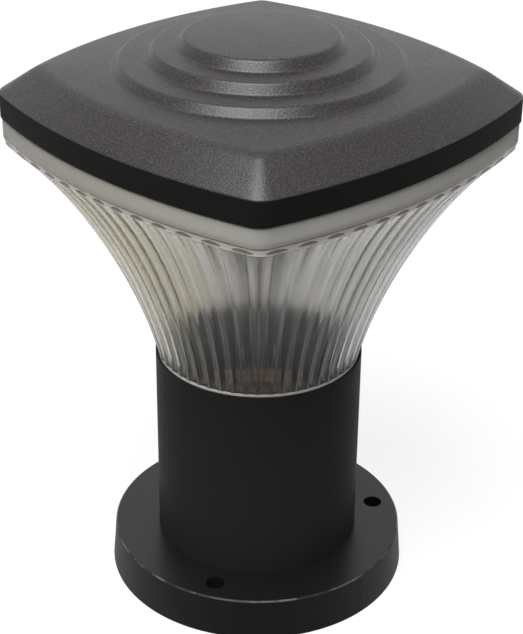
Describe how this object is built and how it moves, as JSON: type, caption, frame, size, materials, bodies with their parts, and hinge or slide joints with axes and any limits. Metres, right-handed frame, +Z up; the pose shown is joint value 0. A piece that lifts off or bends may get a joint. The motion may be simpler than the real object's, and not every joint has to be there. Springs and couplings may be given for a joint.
{
  "type": "garden post light",
  "caption": "Low garden post light: round post on a bolt-down flange, clear fluted flaring diffuser and a square black cap with raised rings.",
  "frame": {"origin": "middle of the flange's underside, where the light stands on its pillar", "axes": "+Z up along the post, X and Y square to the cap's sides"},
  "size_m": [0.1744, 0.1744, 0.2505],
  "materials": {
    "flange_paint": "matte black powder coat on cast aluminium",
    "post_paint": "matte black powder coat on extruded aluminium",
    "cap_plastic": "black moulded plastic with a fine grained texture",
    "clear_plastic": "clear moulded polycarbonate, slightly warm",
    "rubber": "black rubber",
    "zinc_steel": "zinc-plated steel",
    "brass": "plain turned brass",
    "brown_phenolic": "light brown phenolic moulding",
    "tray_aluminium": "white enamel on aluminium sheet",
    "board_white": "white solder-mask board",
    "chip_phosphor": "yellow phosphor under clear resin",
    "driver_plastic": "white potted case",
    "lead_insulation": "light grey insulation",
    "tie_nylon": "black nylon"
  },
  "bodies": {
    "post": {"base_flange": "flange_paint", "base_gasket": "rubber", "post_tube": "post_paint", "flange_screws": "zinc_steel", "neck_seal": "rubber", "bridge_plate": "zinc_steel", "bridge_screws": "zinc_steel", "terminal_block": "brown_phenolic", "terminal_tubes": "brass", "terminal_screws": "zinc_steel", "terminal_fixing_screw": "zinc_steel", "earth_washer": "brass", "earth_screw": "brass", "tie_washer": "zinc_steel", "lock_washer": "zinc_steel", "tie_nut": "zinc_steel"},
    "diffuser": {"diffuser": "clear_plastic", "cap_gasket": "rubber"},
    "cap": {"cap_shell": "cap_plastic", "tie_rod": "zinc_steel", "jam_nut": "zinc_steel", "rod_insert": "brass", "led_tray": "tray_aluminium", "tray_screws": "zinc_steel", "led_board": "board_white", "led_chips": "chip_phosphor", "board_screws": "zinc_steel", "driver_case": "driver_plastic", "driver_screws": "zinc_steel", "lead_bushes": "rubber", "driver_leads": "lead_insulation", "board_leads": "lead_insulation", "lead_ties": "tie_nylon"}
  },
  "joints": [
    {"name": "diffuser_lift", "type": "slide", "parent": "post", "child": "diffuser", "axis": [0, 0, 1], "range_m": [0, 0.05]},
    {"name": "cap_lift", "type": "slide", "parent": "diffuser", "child": "cap", "axis": [0, 0, 1], "range_m": [0, 0.18]}
  ]
}
